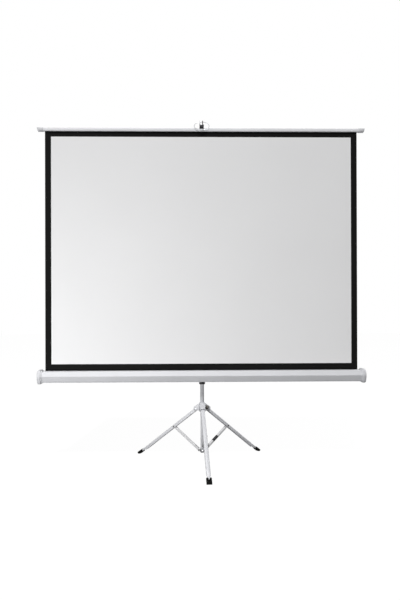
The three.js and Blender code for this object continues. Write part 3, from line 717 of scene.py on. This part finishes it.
# The frame's own shapes with eased edges, by the width of the ease
edges = {
    "leg_hub": 0.0011, "pole_top_bush": 0.0006, "rod_latch_button": 0.0005,
    "strut_plug": 0.0005, "brace_collar": 0.0005, "pole_sleeve": 0.0008,
    "case_bracket": 0.0004, "case_pivot_bolt": 0.0004, "case_shell": 0.0006,
    "top_bar": 0.0003, "bar_cap_right": 0.0009, "bar_cap_left": 0.0009,
    "ring_clip": 0.0006, "rod_arm": 0.0008, "rod_guide": 0.0005,
}
sideEdges = {
    "leg_channel": 0.0004, "foot_boot": 0.0016, "brace": 0.0003,
    "leg_pin": 0.0006, "brace_rivet": 0.0005, "brace_pin": 0.0005,
}
edges.update({f"{kind}_{side}": edge for side in sides for kind, edge in sideEdges.items()})
for node, edge in edges.items():
    dress(node, edge)
for node, kept in frame["nodes"].items():
    if node not in replaced:      # what the case hides, and the cloth until its sheet is hung
        kept.data.materials.clear()
        kept.data.materials.append(finishes[slotOf[node]])
print("rigid pieces dressed:", len(edges))


# Rows of small parts, set out with geometry nodes
class Kit(Graph):
    kinds = {
        "count": "NodeSocketInt", "start": "NodeSocketVector", "step": "NodeSocketVector",
        "turn": "NodeSocketVector", "material": "NodeSocketMaterial",
    }

    def __init__(self, name, **sizes):
        self.tree = bpy.data.node_groups.new(name, "GeometryNodeTree")
        panel = self.tree.interface
        panel.new_socket("Geometry", in_out="OUTPUT", socket_type="NodeSocketGeometry")
        self.sizes = sizes
        self.keys = {}
        for label in (*self.kinds, *sizes):
            kind = self.kinds.get(label, "NodeSocketFloat")
            self.keys[label] = panel.new_socket(label, in_out="INPUT", socket_type=kind).identifier
        self.inlet = self.node("NodeGroupInput").outputs

    def size(self, label):
        return self.value(self.inlet[label])

    def vector(self, x=0.0, y=0.0, z=0.0):
        return self.node("ShaderNodeCombineXYZ", sockets={"X": x, "Y": y, "Z": z}).outputs[0]

    def transformed(self, part, **wanted):
        return self.node("GeometryNodeTransform", sockets={0: part, **wanted}).outputs[0]

    def ball(self, segments, x, y, z):
        sphere = self.node("GeometryNodeMeshUVSphere", sockets={
            "Segments": segments, "Rings": segments // 2, "Radius": 1.0})
        return self.transformed(sphere.outputs[0], Scale=self.vector(x, y, z))

    def block(self, x, y, z, height):
        cube = self.node("GeometryNodeMeshCube", sockets={"Size": self.vector(x, y, z)})
        return self.transformed(cube.outputs[0], Translation=self.vector(z=height))

    def rod(self, sides, radius, length):
        made = self.node("GeometryNodeMeshCylinder", sockets={
            "Vertices": sides, "Radius": radius, "Depth": length})
        return made.outputs["Mesh"]

    def setOut(self, part):
        line = self.node("GeometryNodeMeshLine", {"mode": "OFFSET"}, {
            "Count": self.inlet["count"], "Start Location": self.inlet["start"],
            "Offset": self.inlet["step"]})
        copies = self.node("GeometryNodeInstanceOnPoints", sockets={
            "Points": line.outputs[0], "Instance": part, "Rotation": self.inlet["turn"]})
        whole = self.node("GeometryNodeRealizeInstances", sockets={0: copies.outputs[0]})
        coated = self.node("GeometryNodeSetMaterial", sockets={
            0: whole.outputs[0], "Material": self.inlet["material"]})
        self.put(self.node("NodeGroupOutput"), {0: coated.outputs[0]})
        return self

    def row(self, **wanted):
        holder = bpy.data.objects.new("row", bpy.data.meshes.new("row"))
        bpy.context.collection.objects.link(holder)
        maker = holder.modifiers.new("row", "NODES")
        maker.node_group = self.tree
        for label, value in {**self.sizes, **wanted}.items():
            isVector = self.kinds.get(label) == "NodeSocketVector"
            maker[self.keys[label]] = tuple(value) if isVector else value
        mesh = applied(holder)
        bpy.data.objects.remove(holder)
        return mesh


kitLook = {
    "screwSegments": 24,
    "slotReach": 1.2,        # of a screw's slots, in heads
    "rivetSegments": 20,
    "pegSides": 20,
    "stitchSegments": 6,
    "faceAngle": 40.0,
}


def screwKit():
    kit = Kit("screwRow", head=0.0035, dome=0.0016, slot=0.0008)
    head, dome, slot = kit.size("head"), kit.size("dome"), kit.size("slot")
    part = kit.ball(kitLook["screwSegments"], head, head, dome)
    reach = head * kitLook["slotReach"]
    for x, y in ((reach, slot), (slot, reach)):
        part = kit.node("GeometryNodeMeshBoolean", {"operation": "DIFFERENCE"}, {
            0: part, 1: kit.block(x, y, dome, dome)}).outputs[0]
    return kit.setOut(part)


def rivetKit():
    kit = Kit("rivetRow", head=0.003, dome=0.0012)
    head = kit.size("head")
    return kit.setOut(kit.ball(kitLook["rivetSegments"], head, head, kit.size("dome")))


def pegKit():
    kit = Kit("pegRow", radius=0.001, length=0.02)
    return kit.setOut(kit.rod(kitLook["pegSides"], kit.size("radius"), kit.size("length")))


def stitchKit():
    kit = Kit("stitchRow", thread=0.0003, length=0.0042)
    thread = kit.size("thread")
    return kit.setOut(kit.ball(kitLook["stitchSegments"], kit.size("length") * 0.5, thread, thread))


def joined(name, body, meshes, material, faceAngle=kitLook["faceAngle"]):
    shape = bmesh.new()
    for mesh in meshes:
        shape.from_mesh(mesh)
    for face in shape.faces:
        face.material_index = 0
    settle(finished(name, shape, [material], faceAngle), body)


screws, rivets, pegs, stitches = screwKit(), rivetKit(), pegKit(), stitchKit()
still = (0, 0, 0)      # step or turn of a row that has none
print("kits ready")


# A frame along a piece: X runs down it, Y lies across, Z points out of its face
def frameAlong(start, end, across):
    along = (end - start).normalized()
    out = along.cross(across).normalized()
    return Matrix.Translation(start) @ Matrix((along, out.cross(along), out)).transposed().to_4x4()


# Screws in the case's caps, rivets on its bracket, the screw in the rod's arm, and dark discs on the rod as
# painted shade of its latch holes
capScrew = {
    "rise": 0.017,           # above and below the case's middle
    "back": 0.002,           # behind it
}


def addCapScrews():
    steel = finishes["bright_steel"]
    middle = boxMiddle("case_shell")
    rise = capScrew["rise"]
    made = []
    for node, end, tilt in (("case_cap_right", 1, math.pi / 2), ("case_cap_left", 0, -math.pi / 2)):
        place = (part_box(node)[end][0], middle.y + capScrew["back"], middle.z - rise)
        made.append(screws.row(
            count=2, start=place, step=(0, 0, 2 * rise), turn=(0, tilt, 0), material=steel))
    joined("caseScrews", "carriage", made, steel)


bracketRivet = {
    "inset": 0.009,          # from the bracket's edges
}


def addBracketRivets():
    steel = finishes["bright_steel"]
    inset = bracketRivet["inset"]
    low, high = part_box("case_bracket")
    made = [
        rivets.row(
            count=2, start=(x, high[1], low[2] + inset), step=(0, 0, high[2] - low[2] - 2 * inset),
            turn=(math.pi / 2, 0, 0), material=steel)
        for x in (low[0] + inset, high[0] - inset)]
    joined("bracketRivets", "carriage", made, steel)


rodScrewAndShade = {
    "screwHead": 0.0032,
    "screwSink": 0.0004,     # into the arm
    "screwTurn": 0.4,        # radians, as it was left when driven in
    "stopCount": 5,
    "stopPitch": 0.1,
    "stopFirst": 0.055,      # above the pole's bush
    "stopRadius": 0.0024,
    "stopLength": 0.0006,
    "stopSink": 0.0002,      # into the rod
}


def addRodScrewAndHoleShade():
    dark = finishes["dark_steel"]
    poleY = boxMiddle("pole_tube").y
    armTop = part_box("rod_arm")[1][2] - rodScrewAndShade["screwSink"]
    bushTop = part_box("pole_top_bush")[1][2]
    back = poleY + radiusOf("extension_rod") - rodScrewAndShade["stopSink"]
    made = [
        screws.row(
            count=1, start=(0, poleY, armTop), step=still, turn=(0, 0, rodScrewAndShade["screwTurn"]),
            head=rodScrewAndShade["screwHead"], material=dark),
        # Dark steel discs on the rod's back: painted shade where its latch holes are, not fitted parts
        pegs.row(
            count=rodScrewAndShade["stopCount"], start=(0, back, bushTop + rodScrewAndShade["stopFirst"]),
            step=(0, 0, rodScrewAndShade["stopPitch"]), turn=(math.pi / 2, 0, 0),
            radius=rodScrewAndShade["stopRadius"], length=rodScrewAndShade["stopLength"], material=dark),
    ]
    joined("rodScrewAndHoleShade", "rod", made, dark)


addCapScrews()
addBracketRivets()
addRodScrewAndHoleShade()
print("screws, rivets and stops set out")


# A pressed bead down each leg
bead = {
    "start": 0.034,          # down the leg from its pivot
    "end": 0.421,
    "run": 0.006,            # length of its sloping ends
    "half": 0.0042,
    "flank": 0.0012,         # width of its sloping sides
    "height": 0.0007,
    "face": 0.0084,          # of the leg, out of the pivot line
    "sink": 0.0004,          # into the leg
    "faceAngle": 40.0,
}


def addBead(side, place):
    start, end, run, half = bead["start"], bead["end"], bead["run"], bead["half"]
    face, crest, edge = bead["face"], bead["height"], half - bead["flank"]
    base = face - bead["sink"]
    rings = []
    for x, height in ((start, 0.0), (start + run, crest), (end - run, crest), (end, 0.0)):
        top = face + height
        section = ((-half, base), (half, base), (half, face), (edge, top), (-edge, top), (-half, face))
        rings.append([place @ Vector((x, y, z)) for y, z in section])
    piece = finished(
        f"legBead{side.title()}", loftedShape(rings), [finishes["white_paint"]], bead["faceAngle"])
    settle(piece, f"leg_{side}")


# Ribs over the boots
rib = {
    "first": 0.4635,         # down the leg from its pivot
    "pitch": 0.0045,
    "count": 5,
    "radius": 0.0009,
    "length": 0.021,
    "face": 0.0116,          # of the boot, out of the pivot line
    "sink": 0.0003,          # into the boot
}


def addRibs(side, place):
    rubber = finishes["boot_rubber"]
    turned = place.to_3x3()
    made = pegs.row(
        count=rib["count"], start=place @ Vector((rib["first"], 0, rib["face"] - rib["sink"])),
        step=turned @ Vector((rib["pitch"], 0, 0)),
        turn=(turned @ Matrix.Rotation(math.pi / 2, 3, "X")).to_euler(),
        radius=rib["radius"], length=rib["length"], material=rubber)
    joined(f"bootRibs{side.title()}", f"leg_{side}", [made], rubber)


# A dark band round one brace
band = {
    "middle": 0.110,         # down the brace from its rivet
    "length": 0.040,
    "half": (0.0078, 0.0064),
    "corner": 0.0028,
    "stations": ((-0.5, 0.0002), (-0.49, 0.0), (0.49, 0.0), (0.5, 0.0002)),      # and inset
    "sides": 24,
    "faceAngle": 40.0,
}


def addBand(side):
    swing = f"brace_{side}_swing"
    place = frameAlong(pivot(swing), boxMiddle(f"brace_pin_{side}"), pivotAxis(swing))
    wide, deep = (half - band["corner"] for half in band["half"])
    rings = []
    for share, inset in band["stations"]:
        x = band["middle"] + band["length"] * share
        radius = band["corner"] - inset
        ring = []
        for k in range(band["sides"]):
            t = 2 * math.pi * (k + 0.5) / band["sides"]
            y = math.copysign(wide, math.cos(t)) + radius * math.cos(t)
            z = math.copysign(deep, math.sin(t)) + radius * math.sin(t)
            ring.append(place @ Vector((x, y, z)))
        rings.append(ring)
    piece = finished("braceBand", loftedShape(rings), [finishes["black_plastic"]], band["faceAngle"])
    settle(piece, f"brace_arm_{side}")


for side in sides:
    fold = f"leg_{side}_fold"
    place = frameAlong(pivot(fold), pivot(f"brace_{side}_swing"), pivotAxis(fold))
    addBead(side, place)
    addRibs(side, place)
addBand("right")
print("legs trimmed")


# Cloth: a two-sided sheet, white in the middle with black borders, black behind
cloth = {
    "sideBorder": 0.0342,
    "topBorder": 0.030,
    "bottomBorder": 0.037,
    "thickness": 0.0004,
    "columns": 72,
    "rows": 56,
    "wave": 0.0011,          # height of the slack waves
    "waveCount": 3.5,        # across half the width, in half waves
    "waveDrift": (1.3, 2.1, 0.4),      # how far, how fast and from where they wander on the way up
    "middleWave": 0.35,      # share of the waves in the middle, with the rest towards the edges
    "holdPower": 0.6,        # of the stillness near bar and case
    "faceAngle": 50.0,
}


def clothSpots(count, low, high, first, last):
    inner = [low + first + (high - last - low - first) * i / count for i in range(count + 1)]
    return [low, *inner, high]


# How far the cloth stands off its plane, u from middle to edge and v from foot to top
def slackAt(u, v):
    far, fast, start = cloth["waveDrift"]
    held = math.sin(math.pi * min(1.0, v)) ** cloth["holdPower"]
    swing = math.sin(cloth["waveCount"] * math.pi * u + far * math.sin(fast * v + start))
    spread = cloth["middleWave"] + (1 - cloth["middleWave"]) * u * u
    return held * cloth["wave"] * swing * spread


def addCloth():
    low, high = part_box("screen_fabric")
    tall = high[2] - low[2]
    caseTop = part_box("case_shell")[1][2]
    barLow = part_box("top_bar")[0][2]
    middle = (low[1] + high[1]) / 2
    across = clothSpots(cloth["columns"], low[0], high[0], cloth["sideBorder"], cloth["sideBorder"])
    upward = clothSpots(
        cloth["rows"], low[2], high[2],
        caseTop + cloth["bottomBorder"] - low[2], high[2] - barLow + cloth["topBorder"])
    shape = bmesh.new()
    layers = []
    for offset in (-cloth["thickness"] / 2, cloth["thickness"] / 2):
        layers.append([[
            shape.verts.new((x, middle + offset + slackAt(x / high[0], (z - low[2]) / tall), z))
            for x in across] for z in upward])
    front, back = layers
    lastRow, lastColumn = len(upward) - 1, len(across) - 1
    for j in range(lastRow):
        for i in range(lastColumn):
            inside = 0 < i < lastColumn - 1 and 0 < j < lastRow - 1
            a, b = front[j], front[j + 1]
            shape.faces.new((a[i], a[i + 1], b[i + 1], b[i])).material_index = 0 if inside else 1
            c, d = back[j], back[j + 1]
            shape.faces.new((c[i + 1], c[i], d[i], d[i + 1])).material_index = 2
    for j in range(lastRow):
        for i, turn in ((0, 1), (lastColumn, -1)):
            edge = (back[j][i], front[j][i], front[j + 1][i], back[j + 1][i])
            shape.faces.new(edge[::turn]).material_index = 1
    for i in range(lastColumn):
        for j, turn in ((0, 1), (lastRow, -1)):
            edge = (front[j][i], back[j][i], back[j][i + 1], front[j][i + 1])
            shape.faces.new(edge[::turn]).material_index = 1
    sheet = finished(
        "screenSheet", shape, [finishes["screen_cloth"], accents["border"], accents["back"]],
        cloth["faceAngle"])
    standIn(sheet, "screen_fabric")
    travel = -joints["rod_slide"]["range_m"][0]
    1 - travel / tall
    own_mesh(sheet)


addCloth()


# Stitches in a row below the bar
stitch = {
    "inset": 0.004,          # of the first and last from the cloth's edges
    "drop": 0.0055,          # below the bar
    "pitch": 0.006,
    "lift": 0.0001,          # off the cloth
    "faceAngle": 80.0,
}


def addStitches():
    low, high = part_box("screen_fabric")
    reach = high[0] - stitch["inset"]
    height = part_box("top_bar")[0][2] - stitch["drop"]
    made = stitches.row(
        count=int(2 * reach / stitch["pitch"]) + 1, start=(-reach, low[1] - stitch["lift"], height),
        step=(stitch["pitch"], 0, 0), turn=still, material=accents["stitch"])
    joined("hemStitches", "bar", [made], accents["stitch"], stitch["faceAngle"])


addStitches()
print("cloth hung and its hem sewn")


# Floor, light and background
light = {
    "floorSize": 30.0,
    "floorColour": 0.35,
    "floorRoughness": 0.9,
    "floorSeen": 0.98,       # glow of the floor for the camera's own rays, near white
    "floorShade": 0.05,      # share of shadow that the camera still sees on it
    "sky": 0.03,
    "mirrored": 0.75,        # what shiny metal sees of the white room
}
lamps = {                    # place, size, power and what it points at
    "key": ((-2.25, -10.5, 17.15), 0.5, 2980.0, (0, 0, 0.9)),
    "fill": ((-1.4, -1.6, 0.1), 0.9, 32.0, (-0.1, 0, 0.9)),
    "side": ((2.6, 1.0, 1.8), 1.5, 30.0, (0, 0, 0.3)),
}


def addLamp(name, place, size, power, target):
    lamp = bpy.data.lights.new(name, "AREA")
    lamp.size = size
    lamp.energy = power
    holder = bpy.data.objects.new(name, lamp)
    holder.location = place
    holder.rotation_euler = (Vector(target) - Vector(place)).to_track_quat("-Z", "Y").to_euler()
    bpy.context.collection.objects.link(holder)


def addFloor():
    half = light["floorSize"] / 2
    corners = [(-half, -half, 0), (half, -half, 0), (half, half, 0), (-half, half, 0)]
    mesh = bpy.data.meshes.new("floor")
    mesh.from_pydata(corners, [], [(0, 1, 2, 3)])
    floor = bpy.data.objects.new("floor", mesh)
    bpy.context.collection.objects.link(floor)
    paper = Finish("paperFloor", **{
        "Roughness": light["floorRoughness"], "Specular IOR Level": 0.0,
        "Emission Color": rgb(1, 1, 1)})
    seen = paper.value(paper.node("ShaderNodeLightPath").outputs["Is Camera Ray"])
    tone = seen * (light["floorShade"] - light["floorColour"]) + light["floorColour"]
    grey = paper.node("ShaderNodeCombineColor", sockets={"Red": tone, "Green": tone, "Blue": tone})
    paper.put(paper.shader, {
        "Base Color": grey.outputs[0], "Emission Strength": seen * light["floorSeen"]})
    mesh.materials.append(paper.material)


def addWorld():
    world = bpy.data.worlds.new("studio")
    world.use_nodes = True
    tree = world.node_tree
    path = tree.nodes.new("ShaderNodeLightPath").outputs
    seen, mirrored = (Value(tree, path[name]) for name in ("Is Camera Ray", "Is Glossy Ray"))
    sky = light["sky"]
    strength = seen * (1 - sky) + mirrored * (light["mirrored"] - sky) + sky
    back = tree.nodes["Background"].inputs
    back["Color"].default_value = rgb(1, 1, 1)
    tree.links.new(strength.socket, back["Strength"])
    bpy.context.scene.world = world


addCamera()
addFloor()
addWorld()
for name, lamp in lamps.items():
    addLamp(name, *lamp)
bpy.context.scene.view_settings.view_transform = "Standard"
print("camera, floor and lamps placed")
